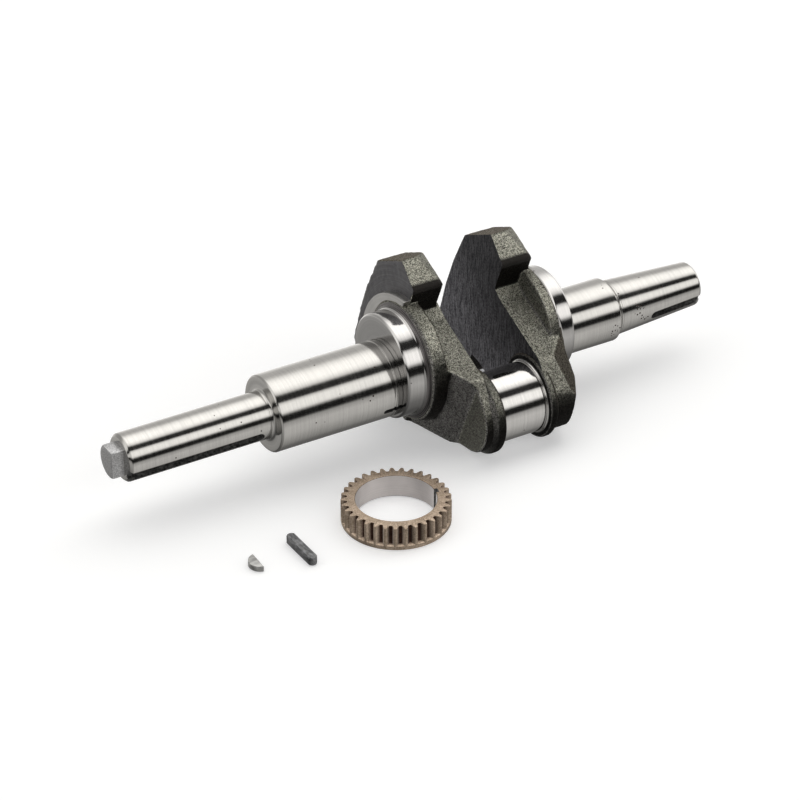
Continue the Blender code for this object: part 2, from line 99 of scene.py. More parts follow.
# The webs rest on their counterweight tips and on the cheeks about the pin.
RESTING_X = EAR_TIP_X - CAST_BEVEL
RESTING_HALF = EAR_TIP_HALF - CAST_BEVEL * (EAR_TIP_HALF - EAR_FRONT_HALF) / (EAR_TIP_X - EAR_FRONT_X)
TIP_REACH = hypot(THROW + RESTING_X, RESTING_HALF)
REST_ANGLE = atan2(RESTING_HALF, THROW + RESTING_X) - asin(CHEEK_R / TIP_REACH)
TAPER_FACE = next(m for m in frame["record"]["mounts"] if m["name"] == "taper_end")["pos_m"]
ORIGIN = Vector(TAPER_FACE) - Vector((TAPER_END * MM, 0, 0))
ACROSS = Vector((0, cos(REST_ANGLE), sin(REST_ANGLE)))
UPWARD = Vector((0, -sin(REST_ANGLE), cos(REST_ANGLE)))
AXIS = Matrix.Translation(ORIGIN) @ Matrix((ACROSS, UPWARD, Vector((1, 0, 0)))).transposed().to_4x4()
ECCENTRIC_CENTRE = Matrix.Translation(
    Vector((sin(REST_ANGLE), cos(REST_ANGLE), 0)) * ECCENTRIC_OFFSET * MM)

# Surroundings, in metres, and the lens and its sensor in millimetres.
FLOOR_HALF, FLOOR_Z, FLOOR_DROP, FLOOR_GLOW, DOME_R = 3.0, -0.0002, 0.0002, 0.36, 2.8
FOCAL_LENGTH, SENSOR_WIDTH, FARTHEST = 144, 36, 50
CAMERA_PLACE = ORIGIN + Vector((-0.5598, -1.2260, 0.8720))
CAMERA_RIGHT, CAMERA_FORWARD = Vector((0.86158, -0.50762, 0)), Vector((0.43049, 0.73066, -0.52992))


# ---------------------------------------------------------------- meshes

def finished(name, work, matrix=None, looks=()):
    """A bmesh as an object in the scene, with its materials."""
    bmesh.ops.recalc_face_normals(work, faces=work.faces)
    mesh = bpy.data.meshes.new(name)
    work.to_mesh(mesh)
    work.free()
    made = bpy.data.objects.new(name, mesh)
    bpy.context.scene.collection.objects.link(made)
    made.matrix_world = matrix or Matrix.Identity(4)
    for look in looks:
        mesh.materials.append(look)
    return made


def arc(centre, radius, start, end, step=radians(5)):
    """Points on a circle from start to end, in radians, with both ends."""
    count = max(2, round(abs(end - start) / step))
    angles = [start + (end - start) * i / count for i in range(count + 1)]
    return [(centre[0] + radius * cos(a), centre[1] + radius * sin(a)) for a in angles]


def softened(profile):
    """Round each corner of a (radius, height, size) profile with a small curve."""
    made = []
    last = len(profile) - 1
    for i, corner in enumerate(profile):
        point = Vector(corner[:2])
        size = corner[2] if len(corner) > 2 else 0
        if i in (0, last) or not size:
            made.append(point)
            continue
        before = Vector(profile[i - 1][:2]) - point
        after = Vector(profile[i + 1][:2]) - point
        start = point + before.normalized() * min(size, before.length * 0.48)
        end = point + after.normalized() * min(size, after.length * 0.48)
        for k in range(ROUND_STEPS + 1):
            t = k / ROUND_STEPS
            made.append((1 - t) ** 2 * start + 2 * t * (1 - t) * point + t * t * end)
    finer = [made[0]]
    for point in made[1:]:
        pieces = max(1, round((point - finer[-1]).length / LONGEST_STEP))
        finer += [finer[-1].lerp(point, (k + 1) / pieces) for k in range(pieces)]
    return finer


def stitched(work, rings, closed=False):
    """Faces between each ring of vertices and the next; a ring of one vertex is a pole."""
    pairs = list(zip(rings, rings[1:]))
    if closed:
        pairs.append((rings[-1], rings[0]))
    for low, high in pairs:
        count = max(len(low), len(high))
        for i in range(count):
            j = (i + 1) % count
            corners = [low[i % len(low)], low[j % len(low)], high[j % len(high)], high[i % len(high)]]
            corners = list(dict.fromkeys(corners))
            if len(corners) > 2:
                work.faces.new(corners)


def lathe(name, profile, matrix=None, looks=()):
    """Profile of (radius, height, corner size), turned about local Z, from pole to pole."""
    work = bmesh.new()
    rings = []
    for radius, height in softened(profile):
        if radius < 1e-6:
            rings.append([work.verts.new((0, 0, height * MM))])
        else:
            rings.append([work.verts.new((radius * cos(tau * i / STEPS) * MM,
                                          radius * sin(tau * i / STEPS) * MM, height * MM))
                          for i in range(STEPS)])
    stitched(work, rings)
    return finished(name, work, matrix, looks)


def prism(name, ends, matrix=None, looks=()):
    """Solid between two outlines of the same count of points, in local space."""
    work = bmesh.new()
    rings = [[work.verts.new((x * MM, y * MM, z * MM)) for x, y, z in end] for end in ends]
    stitched(work, rings)
    for ring in rings:
        work.faces.new(ring)
    return finished(name, work, matrix, looks)


def plate(name, outline, low, high, matrix=None, looks=()):
    """Outline in local X and Y, extruded between two heights."""
    return prism(name, [[(x, y, z) for x, y in outline] for z in (low, high)], matrix, looks)


def side_plate(name, outline, half, matrix=None):
    """Outline in local X and Z, extruded to both sides of the plane of the crank."""
    return prism(name, [[(x, y, z) for x, z in outline] for y in (-half, half)], matrix)


def block(name, x, y, z, matrix=None, looks=()):
    """Box between two values of each of local X, Y and Z."""
    corners = [(x[0], y[0]), (x[1], y[0]), (x[1], y[1]), (x[0], y[1])]
    return plate(name, corners, *z, matrix, looks)


def apply_stack(target):
    """Keep what the modifiers make, and drop them with the tools that they used."""
    bpy.context.view_layer.update()
    graph = bpy.context.evaluated_depsgraph_get()
    mesh = bpy.data.meshes.new_from_object(target.evaluated_get(graph))
    tools = {m.object for m in target.modifiers if m.type == "BOOLEAN"}
    target.modifiers.clear()
    target.data = mesh
    for tool in tools:
        bpy.data.objects.remove(tool)


def cut_with(target, tools, operation="DIFFERENCE"):
    """Cut target with every tool; the new faces keep the tool's material."""
    for tool in tools:
        step = target.modifiers.new(tool.name, "BOOLEAN")
        step.operation = operation
        step.solver = "EXACT"
        step.material_mode = "TRANSFER"
        step.object = tool
    apply_stack(target)


def rounded_edges(target, width, segments, angle=30):
    """Round every edge that turns by more than an angle."""
    edge = target.modifiers.new("edge", "BEVEL")
    edge.width = width * MM
    edge.segments = segments
    edge.limit_method = "ANGLE"
    edge.angle_limit = radians(angle)
    apply_stack(target)


def merged(target, others):
    """Add the meshes of others to target's own, without touching their faces."""
    work = bmesh.new()
    work.from_mesh(target.data)
    inverse = target.matrix_world.inverted()
    for other in others:
        first = len(work.verts)
        work.from_mesh(other.data)
        work.verts.ensure_lookup_table()
        bmesh.ops.transform(work, matrix=inverse @ other.matrix_world, verts=work.verts[first:])
        bpy.data.objects.remove(other)
    work.to_mesh(target.data)
    work.free()


def cast(target, look):
    """Fuse the solids in a mesh into one casting of one look, with soft edges and a grainy skin."""
    fuse = target.modifiers.new("fuse", "REMESH")
    fuse.mode = "VOXEL"
    fuse.voxel_size = VOXEL * MM
    soften = target.modifiers.new("soften", "SMOOTH")
    soften.factor = 0.5
    soften.iterations = CAST_SMOOTHING
    apply_stack(target)
    mesh = target.data
    mesh.update()
    normals = [v.normal.copy() for v in mesh.vertices]
    for vertex, normal in zip(mesh.vertices, normals):
        grain = noise.noise(vertex.co * 420) * 0.10 + noise.noise(vertex.co * 110) * 0.14
        vertex.co += normal * (grain * MM)
    mesh.materials.clear()
    mesh.materials.append(look)


def machined(target, height, above, look):
    """Cut off everything above or below a height, and close it with a flat face."""
    work = bmesh.new()
    work.from_mesh(target.data)
    everything = work.verts[:] + work.edges[:] + work.faces[:]
    result = bmesh.ops.bisect_plane(work, geom=everything, plane_co=(0, 0, height * MM),
                                    plane_no=(0, 0, 1), clear_outer=above, clear_inner=not above)
    edges = [e for e in result["geom_cut"] if isinstance(e, bmesh.types.BMEdge)]
    filled = bmesh.ops.edgeloop_fill(work, edges=edges)
    slot = len(target.data.materials)
    for face in filled["faces"]:
        face.material_index = slot
    bmesh.ops.recalc_face_normals(work, faces=work.faces)
    work.to_mesh(target.data)
    work.free()
    target.data.materials.append(look)


def shaded(target, angle=30):
    """Smooth shading, with a crease wherever the surface turns sharply."""
    mesh = target.data
    for face in mesh.polygons:
        face.use_smooth = True
    mesh.set_sharp_from_angle(angle=radians(angle))


def settle(piece, body, angle=30):
    """Shade a piece, and let it stand for the CAD node of its body."""
    piece.data.transform(piece.matrix_world)
    piece.matrix_world = Matrix.Identity(4)
    shaded(piece, angle)
    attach(piece, body)
    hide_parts(body)


# ---------------------------------------------------------------- materials

class Nodes:
    """A node tree, with short calls that add nodes to it and join them."""

    def __init__(self, tree):
        self.tree = tree

    def add(self, kind, values=None, **settings):
        node = self.tree.nodes.new(kind)
        for key, value in settings.items():
            setattr(node, key, value)
        for key, value in (values or {}).items():
            self.feed(node.inputs[key], value)
        return node

    def feed(self, socket, value):
        if isinstance(value, bpy.types.NodeSocket):
            self.tree.links.new(value, socket)
        else:
            socket.default_value = value

    def maths(self, operation, *values):
        return self.add("ShaderNodeMath", dict(enumerate(values)), operation=operation).outputs[0]

    def axes(self, vector):
        return self.add("ShaderNodeSeparateXYZ", {0: vector}).outputs

    def levels(self, value, start, end, low, high, **settings):
        """A value that runs from low to high while another runs from start to end."""
        values = {"Value": value, "From Min": start, "From Max": end, "To Min": low, "To Max": high}
        return self.add("ShaderNodeMapRange", values, **settings).outputs[0]

    def ramp(self, value, *stops):
        """Colours or greys by a value; each stop is a position and a colour or a grey."""
        node = self.add("ShaderNodeValToRGB", {0: value})
        points = node.color_ramp.elements
        while len(points) < len(stops):
            points.new(0.5)
        for point, (position, colour) in zip(points, stops):
            point.position = position
            point.color = (*colour, 1) if isinstance(colour, tuple) else (colour, colour, colour, 1)
        return node.outputs[0]

    def mix(self, factor, first, second, blend="MIX"):
        node = self.add("ShaderNodeMix", data_type="RGBA", blend_type=blend)
        for socket, value in ((0, factor), (6, first), (7, second)):
            self.feed(node.inputs[socket], (*value, 1) if isinstance(value, tuple) else value)
        return node.outputs[2]

    def times(self, colour, shade):
        """A colour multiplied by a grey or by another colour."""
        return self.mix(1.0, colour, shade, "MULTIPLY")

    def blend(self, first, second, share):
        """The first value by its share, plus the second by the rest."""
        parts = self.maths("MULTIPLY", first, share), self.maths("MULTIPLY", second, 1 - share)
        return self.maths("ADD", *parts)


class Look(Nodes):
    """A material whose patterns lie in the frame of its piece."""

    def __init__(self, name, base, metallic, roughness, matrix=AXIS):
        self.material = bpy.data.materials.new(name)
        self.material.use_nodes = True
        super().__init__(self.material.node_tree)
        self.shader = self.tree.nodes["Principled BSDF"]
        for key, value in (("Base Color", (*base, 1)), ("Metallic", metallic), ("Roughness", roughness)):
            self.shader.inputs[key].default_value = value
        source = self.add("ShaderNodeTexCoord").outputs
        turn, spot = matrix.to_euler(), matrix.to_translation()
        here = {"Vector": source["Object"], "Location": spot, "Rotation": turn}
        self.place = self.add("ShaderNodeMapping", here, vector_type="TEXTURE").outputs[0]
        self.normal = source["Normal"]
        toward = {"Vector": self.normal, "Rotation": turn}
        self.facing = self.add("ShaderNodeMapping", toward, vector_type="TEXTURE").outputs[0]

    def grain(self, scale, detail=2.0, vector=None, rough=0.5):
        values = {"Vector": vector or self.place, "Scale": scale, "Detail": detail, "Roughness": rough}
        return self.add("ShaderNodeTexNoise", values).outputs["Fac"]

    def radius(self):
        """Distance from the local axis."""
        x, y, _ = self.axes(self.place)
        flat = self.add("ShaderNodeCombineXYZ", {0: x, 1: y}).outputs[0]
        return self.add("ShaderNodeVectorMath", {0: flat}, operation="LENGTH").outputs["Value"]

    def rings(self, scale):
        """Tool marks of turning: they run round the local axis, on ends and sides alike."""
        height = self.axes(self.place)[2]
        vector = self.add("ShaderNodeCombineXYZ", {0: self.radius(), 1: height}).outputs[0]
        return self.grain(scale, 4.0, vector, 0.65)

    def bump(self, height, distance, strength):
        values = {"Height": height, "Distance": distance * MM, "Strength": strength}
        return self.add("ShaderNodeBump", values).outputs[0]

    def finish(self, colour, roughness=None, normal=None):
        for key, value in (("Base Color", colour), ("Roughness", roughness), ("Normal", normal)):
            if value is not None:
                self.feed(self.shader.inputs[key], value)
        return self.material


def pit_mask(look, scale, share, size, where):
    """Small round pits in a share of the cells of a random pattern, where a mask lets them be."""
    cells = look.add("ShaderNodeTexVoronoi", {"Vector": look.place, "Scale": scale}).outputs
    chosen = look.maths("GREATER_THAN", look.axes(cells["Color"])[0], 1 - share)
    near = look.maths("LESS_THAN", cells["Distance"], size)
    return look.maths("MULTIPLY", look.maths("MULTIPLY", chosen, near), where)


def patches(look, spots):
    """Mask of ragged patches, each with its place and its reach."""
    ragged = look.maths("MULTIPLY", look.grain(260), RAGGED * MM)
    mask = 0.0
    for spot, reach in spots:
        ends = {0: look.place, 1: Vector(spot) * MM}
        away = look.add("ShaderNodeVectorMath", ends, operation="DISTANCE").outputs["Value"]
        inside = look.maths("LESS_THAN", look.maths("ADD", away, ragged), (reach + RAGGED / 2) * MM)
        mask = look.maths("MAXIMUM", mask, inside)
    return mask


def ground_steel(name, base, low, high, pits, matrix=AXIS, rust=(), under=1.0):
    """Ground journal: fine rings, faint cloudy wear, a few pits, and clusters of them in the rust.

    low and high are the ends of its roughness, and under is how bright the painted shade leaves it on its
    underside.
    """
    look = Look(name, base, 1.0, low, matrix)
    rings = look.rings(900)
    blend = look.blend(rings, look.grain(55, 3.0), 0.6)
    pitted = pit_mask(look, 420, pits, 0.16, look.maths("GREATER_THAN", look.grain(70, 1.0), 0.52))
    if rust:
        pitted = look.maths("MAXIMUM", pitted, pit_mask(look, 800, 0.62, 0.38, patches(look, rust)))
    darker = tuple(c * 0.86 for c in base)
    colour = look.mix(pitted, look.ramp(blend, (0.35, darker), (0.62, base)), (0.035, 0.018, 0.012))
    # painted shade: darker where the surface faces down
    if under < 1:
        upward = look.axes(look.normal)[2]
        colour = look.times(colour, look.levels(upward, 0.30, -0.30, 1.0, under))
    smooth = look.ramp(blend, (0.30, low), (0.70, high))
    roughness = look.maths("MAXIMUM", smooth, look.maths("MULTIPLY", pitted, 0.7))
    height = look.maths("SUBTRACT", look.maths("MULTIPLY", rings, 0.02), pitted)
    return look.finish(colour, roughness, look.bump(height, 0.08, 0.6))


def turned_face(name, base, low, high, contrast=0.75, scale=1100, matrix=AXIS, metallic=1.0):
    """Face left by a lathe tool: concentric marks that catch the light unevenly."""
    look = Look(name, base, metallic, low, matrix)
    rings = look.rings(scale)
    blend = look.blend(rings, look.grain(90, 4.0), 0.55)
    darker = tuple(c * contrast for c in base)
    colour = look.ramp(blend, (0.36, darker), (0.60, base))
    return look.finish(colour, look.ramp(rings, (0.3, low), (0.7, high)), look.bump(rings, 0.03, 0.5))


def painted_shading(look, skin, ends):
    """Painted light and shade over a casting's skin, by where a face is and where it looks.

    ends is how bright the painted shade leaves the skin where it looks squarely at the drive end.
    """
    x, y, _ = look.axes(look.place)
    across, _, along = look.axes(look.facing)
    # painted light and shade: the skin is lighter or darker by which way a face looks across the crank
    across = look.maths("MULTIPLY_ADD", across, 0.5, 0.5)
    tone = look.ramp(across, (0.04, (0.02, 0.018, 0.018)), (0.13, 0.10), (0.19, 0.45), (0.26, 0.80),
                     (0.36, 0.80), (0.47, 0.50), (0.60, 0.42), (0.80, (0.22, 0.19, 0.17)))
    skin = look.times(skin, tone)
    # painted shade: on the neck, faces that look along the shaft are darker
    along = look.maths("MULTIPLY_ADD", along, 0.5, 0.5)
    tone = look.ramp(along, (0.02, ends), (0.05, (0.58, 0.57, 0.64)), (0.20, (0.66, 0.65, 0.70)),
                     (0.35, 1.0), (0.60, 1.0), (0.69, (0.22, 0.20, 0.19)))
    on_neck = look.levels(x, EAR_FRONT_X * MM, (EAR_FRONT_X - 8) * MM, 0.0, 1.0)
    skin = look.mix(on_neck, skin, look.times(skin, tone))
    # painted shade: darker towards the toes round the crankpin
    skin = look.times(skin, look.levels(x, -20 * MM, -38 * MM, 1.0, TOE_SHADE))
    # painted shade: a dark lip along the front of each counterweight tip
    lip = look.levels(x, (EAR_FRONT_X + LIP_SOLID) * MM, (EAR_FRONT_X + LIP_WIDTH) * MM, 1.0, 0.0)
    near_tip = look.maths("GREATER_THAN", look.maths("ABSOLUTE", y), (EAR_FRONT_HALF - 3) * MM)
    return look.mix(look.maths("MULTIPLY", near_tip, lip), skin, (0.035, 0.032, 0.030))


def plane_mask(look, planes):
    """Mask of the faces at given heights that look up or down local Z."""
    height, upward = look.axes(look.place)[2], look.axes(look.facing)[2]
    mask = 0.0
    for level, direction in planes:
        facing = look.maths("GREATER_THAN", look.maths("MULTIPLY", upward, direction), 0.97)
        away = look.maths("ABSOLUTE", look.maths("SUBTRACT", height, level * MM))
        near = look.maths("LESS_THAN", away, 0.45 * MM)
        mask = look.maths("MAXIMUM", mask, look.maths("MULTIPLY", facing, near))
    return mask


def casting(name, dark, light, planes=(), ends=0.72):
    """Rough cast skin with painted light and shade, and a dark machined finish on the faces that lie in
    given planes.

    planes holds (height, direction): the face at that height that looks up or down local Z.
    ends is how bright the painted shade leaves the skin where it looks squarely at the drive end.
    """
    look = Look(name, light, 0.7, 0.6)
    look.shader.inputs["Specular IOR Level"].default_value = 0.1
    fine, coarse = look.grain(2150, 1.0, rough=0.6), look.grain(800, 3.0)
    middle = tuple((a + b) / 2.4 for a, b in zip(dark, light))
    skin = look.ramp(look.blend(fine, coarse, 0.70), (0.39, dark), (0.49, middle), (0.59, light))
    stain = look.maths("MULTIPLY", look.grain(60, 3.0), 0.55)
    skin = look.mix(stain, skin, tuple(c * 0.55 for c in light), "MULTIPLY")
    # painted light and shade by where each face is and where it looks
    skin = painted_shading(look, skin, ends)
    mask = plane_mask(look, planes)
    rings = look.rings(2600)
    turned = look.ramp(rings, (0.34, (0.085, 0.084, 0.09)), (0.64, (0.15, 0.147, 0.155)))
    rough = look.ramp(fine, (0.35, 0.78), (0.65, 0.56))
    roughness = look.mix(mask, rough, look.ramp(rings, (0.3, 0.42), (0.7, 0.30)))
    bumps = look.maths("ADD", look.maths("MULTIPLY", fine, 0.7), coarse)
    bumps = look.maths("MULTIPLY", bumps, look.maths("SUBTRACT", 1.0, mask))
    marks = look.maths("MULTIPLY", look.maths("MULTIPLY", rings, 0.08), mask)
    height = look.maths("ADD", bumps, marks)
    return look.finish(look.mix(mask, skin, turned), roughness, look.bump(height, 0.30, 0.9))


def milled_face():
    """Dark milled inner face of a web: fine upright marks over a mottled ground, with painted shade that
    darkens it towards the top.
    """
    look = Look("milled_web", (0.13, 0.128, 0.135), 1.0, 0.4, Matrix.Identity(4))
    x, y, z = look.axes(look.place)
    stretched = {0: x, 1: y, 2: look.maths("MULTIPLY", z, 0.10)}
    marks = look.grain(1700, 3.0, look.add("ShaderNodeCombineXYZ", stretched).outputs[0], 0.6)
    blend = look.blend(marks, look.grain(900, 3.0), 0.6)
    colour = look.ramp(blend, (0.40, (0.040, 0.040, 0.049)), (0.62, (0.27, 0.265, 0.29)))
    ends = {0: look.place, 1: UPWARD}
    height = look.add("ShaderNodeVectorMath", ends, operation="DOT_PRODUCT").outputs["Value"]
    middle = ORIGIN.dot(UPWARD)
    # painted shade: the face grows darker towards the top
    shade = look.levels(height, middle - 12 * MM, middle + 28 * MM, 1.0, 0.42)
    roughness = look.ramp(blend, (0.35, 0.58), (0.65, 0.42))
    return look.finish(look.times(colour, shade), roughness, look.bump(blend, 0.08, 0.7))


def slot_steel(name, dark, light):
    """Milled inside of a keyway."""
    look = Look(name, (dark, dark, dark), 1.0, 0.5)
    marks = look.grain(700, 3.0)
    roughness = look.ramp(marks, (0.3, 0.40), (0.7, 0.55))
    return look.finish(look.ramp(marks, (0.35, dark), (0.65, light)), roughness,
                       look.bump(marks, 0.05, 0.6))


def blasted_steel():
    """Dull grey end stub."""
    look = Look("dull_steel", (0.46, 0.46, 0.47), 1.0, 0.4)
    marks = look.grain(1500, 3.0)
    colour = look.ramp(marks, (0.33, (0.30, 0.30, 0.31)), (0.62, (0.56, 0.56, 0.57)))
    return look.finish(colour, look.ramp(marks, (0.3, 0.46), (0.7, 0.32)), look.bump(marks, 0.03, 0.6))


def sintered_bronze(matrix):
    """Sintered gear: grainy brown teeth, darker down in the gaps."""
    look = Look("sintered_teeth", (0.42, 0.32, 0.24), 1.0, 0.5, matrix)
    fine = look.grain(1500, 3.0)
    blend = look.blend(fine, look.grain(160, 3.0), 0.6)
    bright = look.ramp(blend, (0.34, (0.27, 0.205, 0.15)), (0.62, (0.60, 0.485, 0.385)))
    # the teeth are darker down in the gaps
    gap_colour = look.ramp(blend, (0.36, (0.016, 0.008, 0.006)), (0.62, (0.075, 0.040, 0.028)))
    depth = look.levels(look.radius(), (GEAR_ROOT_R + 0.25) * MM, (GEAR_TIP_R - 0.7) * MM, 0.0, 1.0)
    top = look.maths("GREATER_THAN", look.axes(look.place)[2], (GEAR_HEIGHT - 0.3) * MM)
    colour = look.mix(look.maths("MAXIMUM", depth, top), gap_colour, bright)
    return look.finish(colour, look.ramp(fine, (0.3, 0.62), (0.7, 0.42)), look.bump(fine, 0.06, 0.8))


def key_steel(name, dark, light, low, high, matrix):
    """Sawn and tumbled key stock: scratches along its length over cloudy grey."""
    look = Look(name, light, 1.0, low, matrix)
    x, y, z = look.axes(look.place)
    stretched = {0: look.maths("MULTIPLY", x, 0.12), 1: y, 2: z}
    scratches = look.grain(2400, 3.0, look.add("ShaderNodeCombineXYZ", stretched).outputs[0])
    cloud = look.grain(350, 3.0)
    blend = look.blend(scratches, cloud, 0.5)
    roughness = look.ramp(cloud, (0.3, low), (0.7, high))
    return look.finish(look.ramp(blend, (0.36, dark), (0.62, light)), roughness,
                       look.bump(blend, 0.03, 0.8))


def laid(place, turn):
    """Where a loose piece lies on the floor."""
    return Matrix.Translation((ORIGIN.x + place[0] * MM, ORIGIN.y + place[1] * MM, 0)) @ \
        Matrix.Rotation(radians(turn), 4, "Z")


PIN_AXIS = AXIS @ Matrix.Translation((-THROW * MM, 0, 0))
ECCENTRIC_AXIS = AXIS @ ECCENTRIC_CENTRE
GEAR_AXIS = laid(GEAR_PLACE, GEAR_NOTCH_ANGLE)
TIMING_KEY_AXIS = laid(TIMING_KEY_PLACE, TIMING_KEY_TURN)
KEY_AXIS = laid(KEY_PLACE, KEY_TURN)
CAST_DARK, CAST_LIGHT = (0.12, 0.12, 0.105), (0.96, 0.95, 0.84)
SHAFT_STEEL = ground_steel("ground_shaft", (0.56, 0.55, 0.535), 0.08, 0.17, 0.10, rust=RUST)
PIN_STEEL = ground_steel("ground_pin", (0.62, 0.61, 0.60), 0.07, 0.14, 0.03, PIN_AXIS)
# painted shade on the eccentrics' undersides
ECCENTRIC_STEEL = ground_steel("ground_eccentric", (0.62, 0.61, 0.605), 0.07, 0.14, 0.02,
                               ECCENTRIC_AXIS, under=0.40)
# painted reflection: the flange is painted dark to stand in for the dark reflection it shows
FLANGE_STEEL = turned_face("turned_flange", (0.17, 0.16, 0.16), 0.20, 0.34, matrix=ECCENTRIC_AXIS)
LAND_STEEL = turned_face("turned_land", (0.52, 0.51, 0.50), 0.30, 0.42)
DRIVE_CAST = casting("drive_casting", CAST_DARK, CAST_LIGHT,
                     [(DRIVE_EAR_START, -1.0), (DRIVE_EAR_END, 1.0), (DRIVE_WEB_END, 1.0)])
MAGNETO_CAST = casting("magneto_casting", CAST_DARK, CAST_LIGHT,
                       [(MAGNETO_INNER, -1.0), (MAGNETO_EAR_END, 1.0)])
# painted shadow: where the cheek looks squarely at the drive end it is painted near black; its light skin is
# also a quarter darker
CHEEK_CAST = casting("cheek_casting", CAST_DARK, tuple(c * 0.75 for c in CAST_LIGHT), ends=0.04)
DARK_TURNED = milled_face()
SLOT_STEEL = slot_steel("milled_slot", 0.10, 0.30)
NOTCH_LOOK = slot_steel("gear_notch", 0.05, 0.12)
STUB_STEEL = blasted_steel()
GEAR_TEETH_LOOK = sintered_bronze(GEAR_AXIS)
GEAR_BORE_LOOK = turned_face("reamed_bore", (0.66, 0.62, 0.61), 0.30, 0.42, 0.82, 1800,
                             GEAR_AXIS, 0.35)
BRIGHT_KEY = key_steel("bright_key", (0.33, 0.33, 0.33), (0.62, 0.62, 0.61), 0.35, 0.5, TIMING_KEY_AXIS)
DARK_KEY = key_steel("oxide_key", (0.05, 0.052, 0.055), (0.34, 0.343, 0.355), 0.38, 0.52, KEY_AXIS)


# ---------------------------------------------------------------- crankshaft

def stadium(length, width):
    """Outline of a slot along X, open at the start and round at the far end."""
    half = width / 2
    return [(0, -half)] + arc((length - half, 0), half, -pi / 2, pi / 2, radians(12)) + [(0, half)]


def keyway(name, width, low, high, floor, angle, open_low=True):
    """Cutter for a milled slot along the shaft, with its round end inside the metal."""
    facing = Matrix.Rotation(radians(angle), 4, "Z")
    along = Vector((0, 0, 1 if open_low else -1))
    radial = Vector((1, 0, 0))
    basis = Matrix((along, radial.cross(along), radial)).transposed().to_4x4()
    start = low if open_low else high
    matrix = AXIS @ facing @ Matrix.Translation((floor * MM, 0, start * MM)) @ basis
    return plate(name, stadium(high - low, width), 0, 10, matrix, [SLOT_STEEL])


def drive_shaft():
    """Output shaft and main journal, with the keyway and the timing gear's slot."""
    relief_r = JOURNAL_R - 0.45
    profile = [
        (0, -0.4), (SHAFT_R - 1.4, -0.02, 0.3), (SHAFT_R, 1.4, 0.5), (SHAFT_R, SHAFT_LENGTH, 1.7),
        (JOURNAL_R - 0.9, SHAFT_LENGTH, 0.25), (JOURNAL_R, SHAFT_LENGTH + 0.9, 0.3),
        (JOURNAL_R, 147.6, 0.1), (relief_r, 147.8, 0.1), (relief_r, 148.8, 0.1), (JOURNAL_R, 149.0, 0.1),
        (JOURNAL_R, 150.1, 0.1), (relief_r, 150.3, 0.1), (relief_r, 156), (0, 156),
    ]
    made = lathe("drive_shaft", profile, AXIS, [SHAFT_STEEL])
    cut_with(made, [
        keyway("drive_keyway", DRIVE_KEY_WIDTH, -1, DRIVE_KEY_END, SHAFT_R - DRIVE_KEY_DEPTH,
               DRIVE_KEY_ANGLE),
        keyway("timing_slot", TIMING_SLOT_WIDTH, JOURNAL_END - TIMING_SLOT_LENGTH, JOURNAL_END + 0.1,
               JOURNAL_R - TIMING_SLOT_DEPTH, TIMING_SLOT_ANGLE, False),
    ])
    return made


def stub():
    """Driving stub on the shaft's end, with its two flats."""
    profile = [(0, -STUB_LENGTH), (STUB_R, -STUB_LENGTH, 0.9), (STUB_R, 0.3), (0, 0.3)]
    made = lathe("drive_stub", profile, AXIS, [STUB_STEEL])
    tools = []
    for name, flat, angle in (("top_flat", STUB_TOP_FLAT, 90), ("side_flat", STUB_SIDE_FLAT, 180)):
        turn = AXIS @ Matrix.Rotation(radians(angle) - REST_ANGLE, 4, "Z")
        tools.append(block(name, (flat, flat + 20), (-20, 20), (-STUB_LENGTH - 5, -0.1), turn, [STUB_STEEL]))
    cut_with(made, tools)
    rounded_edges(made, 0.35, 2, 40)
    return made


def drive_eccentric():
    """Balancer eccentric with its flare, and the turned flange against the web, painted dark as a dark
    reflection.
    """
    face = DRIVE_FLANGE_FACE
    profile = [
        (0, JOURNAL_END), (ECCENTRIC_R - 0.9, JOURNAL_END, 0.25), (ECCENTRIC_R, JOURNAL_END + 0.9, 0.35),
        (ECCENTRIC_R, face - 2.4, 0.5), (ECCENTRIC_R + 0.8, face - 1.6, 0.4),
        (ECCENTRIC_R + 0.9, face - 0.8, 0.4), (ECCENTRIC_R + 1.7, face - 0.1, 0.6),
        (ECCENTRIC_R + 2.9, face, 0.3), (ECCENTRIC_R + 3.4, face + 0.6, 0.4),
        (ECCENTRIC_R + 3.4, face + 3.9), (0, face + 3.9),
    ]
    made = lathe("drive_eccentric", profile, ECCENTRIC_AXIS, [ECCENTRIC_STEEL, FLANGE_STEEL])
    for polygon in made.data.polygons:
        if polygon.center.z > (face - 1.5) * MM:
            polygon.material_index = 1
    return made


def magneto_eccentric():
    """Balancer eccentric on the magneto side, with a plain flange."""
    face, end = MAGNETO_FLANGE_FACE, MAGNETO_ECCENTRIC_END
    profile = [
        (0, face - 4.9), (ECCENTRIC_R + 3.0, face - 4.9), (ECCENTRIC_R + 3.0, face, 0.4),
        (ECCENTRIC_R + 2.2, face + 0.6, 0.5), (ECCENTRIC_R + 1.0, face + 1.4, 0.6),
        (ECCENTRIC_R, face + 3.1, 0.6), (ECCENTRIC_R, end - 0.9, 0.35),
        (ECCENTRIC_R - 0.9, end, 0.25), (0, end),
    ]
    return lathe("magneto_eccentric", profile, ECCENTRIC_AXIS, [ECCENTRIC_STEEL])


